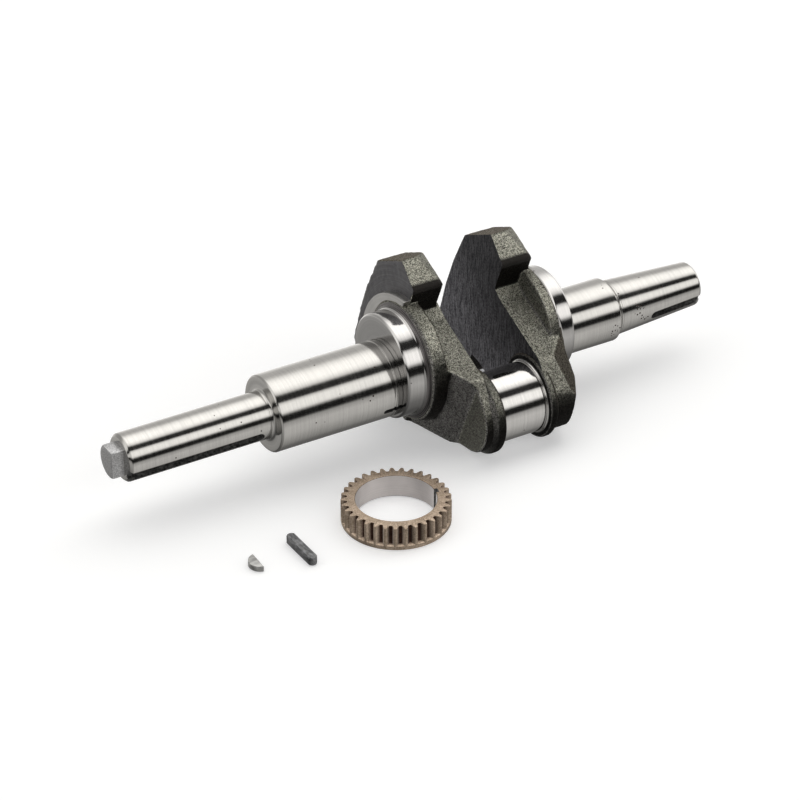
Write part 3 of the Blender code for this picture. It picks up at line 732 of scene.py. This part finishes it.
def magneto_shaft():
    """Magneto journal, its shoulder, and the taper with the flywheel's keyway."""
    start = MAGNETO_ECCENTRIC_END - 2
    profile = [
        (0, start), (MAGNETO_R - 0.3, start), (MAGNETO_R - 0.3, start + 3.2, 0.1),
        (MAGNETO_R, start + 3.4, 0.1), (MAGNETO_R, MAGNETO_END - 0.4, 0.3),
        (MAGNETO_R - 0.5, MAGNETO_END, 0.2),
        (TAPER_LARGE_R - 0.25, SHOULDER_END - 0.2, 0.3), (TAPER_LARGE_R - 0.25, SHOULDER_END + 0.5, 0.1),
        (TAPER_LARGE_R - 0.04, SHOULDER_END + 0.7, 0.1),
        (TAPER_SMALL_R, TAPER_END - 1.5, 0.5), (TAPER_SMALL_R - 1.5, TAPER_END, 0.3), (0, TAPER_END),
    ]
    made = lathe("magneto_shaft", profile, AXIS, [SHAFT_STEEL])
    cut_with(made, [keyway("taper_keyway", KEY_SIZE, TAPER_SLOT_START, TAPER_END + 1,
                           TAPER_SMALL_R - TAPER_SLOT_DEPTH, TAPER_KEY_ANGLE, False)])
    return made


def crankpin():
    """Ground pin with a turned fillet at each end."""
    ends = []
    for face, web in ((PIN_START, CHEEK_START), (PIN_END, CHEEK_END)):
        into = 1 if web > face else -1
        ends.append([
            (0, face + into * 3), (PIN_R + 0.95, face + into * 3), (PIN_R + 0.95, face - into * 0.25, 0.15),
            (PIN_R + 0.7, face - into * 0.3, 0.1), (PIN_R + 0.55, face - into * 0.8, 0.2),
            (PIN_R - 0.15, face - into * 0.9, 0.1), (PIN_R - 0.15, face - into * 1.5, 0.1),
            (PIN_R, face - into * 1.7, 0.2),
        ])
    return lathe("crankpin", ends[0] + ends[1][::-1], PIN_AXIS, [PIN_STEEL])


def cheek(name, face, web):
    """Round cheek that guides the rod, tapering back into its web."""
    into = 1 if web > face else -1
    profile = [
        (0, face), (CHEEK_R - 0.9, face, 0.4), (CHEEK_R, face + into * 0.9, 0.5),
        (CHEEK_R, face + (web - face) * 0.55, 1.0), (CHEEK_R - 3.6, web), (0, web),
    ]
    if into < 0:
        profile.reverse()
    return lathe(name, profile, PIN_AXIS, [CHEEK_CAST])


def ear_outline(inset=0.0):
    """Counterweight: a hammer head behind the neck, with a shallow round back."""
    sagitta = EAR_BACK_X - EAR_CORNER_X
    back_r = (EAR_CORNER_HALF ** 2 + sagitta ** 2) / (2 * sagitta)
    half_angle = asin(EAR_CORNER_HALF / back_r)
    back = arc((EAR_BACK_X - back_r - inset, 0), back_r, -half_angle, half_angle)
    shrink = 1 - inset / EAR_FRONT_HALF
    tip, front = EAR_TIP_HALF * shrink, EAR_FRONT_HALF * shrink
    return [(EAR_FRONT_X, -front), (EAR_TIP_X, -tip)] + back + [(EAR_TIP_X, tip), (EAR_FRONT_X, front)]


def neck_outline():
    """Neck from inside the counterweight to the round end about the crankpin."""
    toe = arc((-THROW, 0), TOE_R, pi - TOE_ARC, pi + TOE_ARC)
    upper = [(EAR_TIP_X - 4, NECK_FLARE), (EAR_FRONT_X, NECK_FLARE), (NECK_FLARE_START, NECK_HALF),
             (NECK_TOE_X, NECK_HALF)]
    return upper + toe + [(x, -y) for x, y in reversed(upper)]


def neck(name, low, high, toe, outward):
    """Neck of a web, with its outer face cut back along a toe line of (local X, local Z)."""
    made = plate(name, neck_outline(), low, high, AXIS)
    clear = toe[0][1] + outward * TOE_REACH
    outside = toe + [(toe[-1][0], clear), (toe[0][0], clear)]
    cut_with(made, [side_plate(name + "_toe", outside, EAR_CORNER_HALF, AXIS)])
    return made


def ear(name, low, high):
    """Counterweight with a bevel across each tip, on the side towards the magneto end."""
    made = plate(name, ear_outline(), low, high, AXIS)
    drop, length, reach = EAR_CHAMFER_DROP, EAR_CHAMFER_LENGTH, EAR_TIP_HALF + 9
    tools = []
    for side in (-1, 1):
        corners = [(EAR_TIP_HALF - drop, high), (EAR_TIP_HALF, high - length), (reach, high - length),
                   (reach, high + 9), (EAR_TIP_HALF - drop, high + 9)]
        across, along = Vector((0, side, 0)), Vector((0, 0, 1))
        turn = Matrix((across, along, across.cross(along))).transposed().to_4x4()
        tools.append(plate(f"{name}_{side}", corners, -EAR_BACK_X, EAR_BACK_X + 9, AXIS @ turn))
    cut_with(made, tools)
    return made


def land(name, low, high, radius):
    """Turned face that stands proud of a counterweight, as far out as its radius."""
    made = plate(name, ear_outline(0.7), low, high, AXIS, [LAND_STEEL])
    disc = lathe(name + "_round", [(0, low - 1), (radius, low - 1), (radius, high + 1), (0, high + 1)],
                 AXIS, [LAND_STEEL])
    cut_with(made, [disc], "INTERSECT")
    rounded_edges(made, 0.3, 2, 40)
    return made


def drive_web():
    """Web on the drive side, with the flange's root cast in one with it."""
    made = neck("drive_web", DRIVE_NECK_START, DRIVE_WEB_END + 1, DRIVE_TOE, -1)
    root = lathe("root", [(0, 163.4), (32.4, 163.4, 0.8), (33.4, 166), (33.4, 172), (0, 172)],
                 ECCENTRIC_AXIS)
    merged(made, [ear("ear", DRIVE_EAR_START, DRIVE_EAR_END), root])
    cast(made, DRIVE_CAST)
    machined(made, DRIVE_WEB_END, True, DARK_TURNED)
    return made


def magneto_web():
    """Web on the magneto side, with a facet across each outer corner of its toe."""
    made = neck("magneto_web", PIN_END - 0.5, MAGNETO_NECK_END, MAGNETO_TOE, 1)
    facets = []
    for side in (-1, 1):
        across, sideways, along = TOE_FACET_FACING
        facing = Vector((across, sideways * side, along)).normalized()
        level = facing.cross(Vector((0, 0, 1))).normalized()
        turn = Matrix((facing, level, facing.cross(level))).transposed().to_4x4()
        spot = Matrix.Translation(Vector((TOE_FACET_X, NECK_HALF * side, TOE_FACET_Z)) * MM)
        facets.append(block(f"toe_facet_{side}", (0, 40), (-60, 60), (-60, 60), AXIS @ spot @ turn))
    cut_with(made, facets)
    root = lathe("root", [(0, 236), (32.6, 236, 0.5), (32.6, 242.2, 0.8), (0, 242.2)], ECCENTRIC_AXIS)
    merged(made, [ear("ear", PIN_END - 0.5, MAGNETO_EAR_END), root])
    cast(made, MAGNETO_CAST)
    machined(made, MAGNETO_INNER, False, DARK_TURNED)
    return made


# ---------------------------------------------------------------- loose pieces

def tooth_outline():
    """One pitch of the gear from gap centre to gap centre: (share of the pitch, radius)."""
    depth = GEAR_TIP_R - GEAR_ROOT_R
    flank = [(0.0, 0.0), (0.11, 0.01), (0.16, 0.06), (0.19, 0.18), (0.23, 0.38), (0.275, 0.57),
             (0.32, 0.75), (0.355, 0.88), (0.39, 0.96), (0.44, 1.0)]
    half = [(share, GEAR_ROOT_R + depth * part) for share, part in flank]
    return half + [(0.5, half[-1][1])] + [(1 - share, radius) for share, radius in half[:0:-1]]


def gear_ring(work, radius_of, height):
    """Ring of vertices round the gear, with each tooth radius passed through radius_of."""
    pitch = tau / GEAR_TEETH
    points = []
    for tooth in range(GEAR_TEETH):
        for share, radius in tooth_outline():
            angle = (tooth + share + 0.5) * pitch
            reach = radius_of(radius)
            points.append(work.verts.new((reach * cos(angle) * MM, reach * sin(angle) * MM, height * MM)))
    return points


def timing_gear(matrix):
    """Sintered ring: rounded teeth above a rim flange, and a reamed bore with a notch."""
    work = bmesh.new()
    edge, top, bore, rim = GEAR_EDGE, GEAR_HEIGHT, GEAR_BORE_R, GEAR_TIP_R
    levels = [
        (lambda r: bore, edge), (lambda r: bore + edge, 0), (lambda r: rim - edge, 0),
        (lambda r: rim - 0.1, 0.12), (lambda r: rim, edge), (lambda r: rim, GEAR_FLANGE - 0.35),
        (lambda r: max(r, rim - 0.12), GEAR_FLANGE - 0.1), (lambda r: max(r, rim - 0.45), GEAR_FLANGE),
        (lambda r: r, GEAR_FLANGE + 0.05), (lambda r: r, top - 0.45), (lambda r: r - 0.12, top - 0.14),
        (lambda r: r - 0.4, top), (lambda r: bore + edge, top), (lambda r: bore, top - edge),
    ]
    rings = [gear_ring(work, radius_of, height) for radius_of, height in levels]
    stitched(work, rings, closed=True)
    made = finished("timing_gear_piece", work, matrix, [GEAR_TEETH_LOOK, GEAR_BORE_LOOK])
    for face in made.data.polygons:
        if hypot(face.center.x, face.center.y) < (bore + 0.1) * MM:
            face.material_index = 1
    notch = block("gear_notch", (bore - 3, bore + GEAR_NOTCH_DEPTH),
                  (-GEAR_NOTCH_WIDTH / 2, GEAR_NOTCH_WIDTH / 2), (-1, top + 1), matrix, [NOTCH_LOOK])
    cut_with(made, [notch])
    return made


def timing_key(matrix):
    """Half-moon key lying on its side."""
    half = asin((TIMING_KEY_HEIGHT - TIMING_KEY_R) / TIMING_KEY_R)
    outline = arc((0, 0), TIMING_KEY_R, pi / 2 - half, 3 * pi / 2 + half, radians(4))
    made = plate("timing_key_piece", outline, 0, TIMING_KEY_WIDTH, matrix, [BRIGHT_KEY])
    rounded_edges(made, 0.32, 3)
    return made


def flywheel_key(matrix):
    """Square key, with a bevel at each end."""
    long, half, cut = KEY_LENGTH / 2, KEY_SIZE / 2, KEY_END_BEVEL
    outline = [(-long, cut - half), (cut - long, -half), (long - cut, -half), (long, cut - half),
               (long, half - cut), (long - cut, half), (cut - long, half), (-long, half - cut)]
    made = plate("flywheel_key_piece", outline, 0, KEY_SIZE, matrix, [DARK_KEY])
    rounded_edges(made, KEY_CHAMFER, 2)
    return made


for piece in (drive_shaft(), stub(), drive_eccentric(), magneto_eccentric(), magneto_shaft(), crankpin(),
              cheek("drive_cheek", PIN_START, CHEEK_START), cheek("magneto_cheek", PIN_END, CHEEK_END),
              land("drive_land", DRIVE_NECK_START + 0.2, DRIVE_EAR_START + 3, DRIVE_LAND_R),
              land("magneto_land", MAGNETO_EAR_END - 3, MAGNETO_NECK_END - 0.2, MAGNETO_LAND_R),
              drive_web(), magneto_web()):
    settle(piece, "crankshaft")
for piece, body, angle in ((timing_gear(GEAR_AXIS), "timing_gear", 38),
                           (timing_key(TIMING_KEY_AXIS), "timing_key", 25),
                           (flywheel_key(KEY_AXIS), "flywheel_key", 20)):
    settle(piece, body, angle)
    piece.visible_glossy = False  # the steel behind them does not mirror them


# ---------------------------------------------------------------- surroundings

def pale_floor():
    """Plain floor that falls away by a fraction of a millimetre towards its edges."""
    work = bmesh.new()
    bmesh.ops.create_grid(work, x_segments=24, y_segments=24, size=FLOOR_HALF)
    for vertex in work.verts:
        vertex.co.z = FLOOR_Z - FLOOR_DROP * (vertex.co.length / FLOOR_HALF) ** 2
    look = Look("pale_floor", (0.95, 0.95, 0.95), 0.0, 0.9, Matrix.Identity(4))
    tint = look.ramp(look.grain(3, 2.0), (0.3, (0.73, 0.735, 0.745)), (0.7, (0.75, 0.755, 0.765)))
    look.finish(tint)
    look.shader.inputs["Emission Color"].default_value = (0.95, 0.955, 0.97, 1)
    look.shader.inputs["Emission Strength"].default_value = FLOOR_GLOW
    made = finished("floor", work, None, [look.material])
    for face in made.data.polygons:
        face.use_smooth = True
    made.visible_glossy = False


def backdrop():
    """Plain pale dome behind everything: it is seen, but it neither lights nor shades."""
    work = bmesh.new()
    bmesh.ops.create_uvsphere(work, u_segments=48, v_segments=24, radius=DOME_R)
    look = Look("backdrop", (0, 0, 0), 0.0, 1.0, Matrix.Identity(4))
    look.shader.inputs["Emission Color"].default_value = (1, 1, 0.995, 1)
    look.shader.inputs["Emission Strength"].default_value = 1.0
    look.shader.inputs["Specular IOR Level"].default_value = 0.0
    made = finished("backdrop", work, None, [look.material])
    made.visible_diffuse = made.visible_glossy = made.visible_transmission = made.visible_shadow = False


# Studio light by its angle round the shaft's axis: degrees from the horizon behind the
# object, up over it and down in front, and how bright the soft panels are there.
PANELS = [
    (0, 0.80), (10, 0.68), (30, 0.66), (40, 0.85), (50, 1.35), (60, 1.72), (70, 1.88), (86, 1.88),
    (96, 1.55), (104, 0.95), (108, 0.22), (111, 0.03), (127, 0.02), (130, 0.95), (137, 1.50), (152, 1.50),
    (158, 1.30), (163, 0.50), (167, 0.02), (173, 0.01), (183, 0.02), (189, 0.52), (205, 0.76), (226, 0.70),
    (248, 0.50), (267, 0.34), (280, 0.19), (300, 0.14), (316, 0.25), (330, 0.95), (346, 1.05), (360, 0.80),
]


def studio():
    """World of soft panels round the shaft's axis, a little dimmer towards the drive end."""
    world = bpy.data.worlds.new("studio")
    bpy.context.scene.world = world
    world.use_nodes = True
    nodes = Nodes(world.node_tree)
    nodes.tree.nodes.clear()
    x, y, z = nodes.axes(nodes.add("ShaderNodeTexCoord").outputs["Generated"])
    turn = nodes.maths("DIVIDE", nodes.maths("ARCTAN2", z, y), tau)
    brightest = max(value for _, value in PANELS)
    stops = []
    for degrees, value in PANELS:
        grey = value / brightest
        stops.append((degrees / 360, (grey, grey * 0.985, grey * 0.95)))
    side = nodes.levels(x, -0.35, 0.3, 0.64, 1.0, interpolation_type="SMOOTHSTEP")
    values = {"Color": nodes.ramp(nodes.maths("WRAP", turn, 1.0, 0.0), *stops),
              "Strength": nodes.maths("MULTIPLY", side, brightest)}
    back = nodes.add("ShaderNodeBackground", values).outputs[0]
    nodes.add("ShaderNodeOutputWorld", {0: back})


def camera():
    """Camera at the photo's viewing angle."""
    lens = bpy.data.cameras.new("camera")
    lens.lens = FOCAL_LENGTH
    lens.sensor_width = SENSOR_WIDTH
    lens.clip_end = FARTHEST
    made = bpy.data.objects.new("camera", lens)
    bpy.context.scene.collection.objects.link(made)
    basis = (CAMERA_RIGHT, CAMERA_RIGHT.cross(CAMERA_FORWARD), -CAMERA_FORWARD)
    made.matrix_world = Matrix.Translation(CAMERA_PLACE) @ Matrix(basis).transposed().to_4x4()
    bpy.context.scene.camera = made


pale_floor()
backdrop()
studio()
camera()
bpy.context.scene.view_settings.view_transform = "Standard"
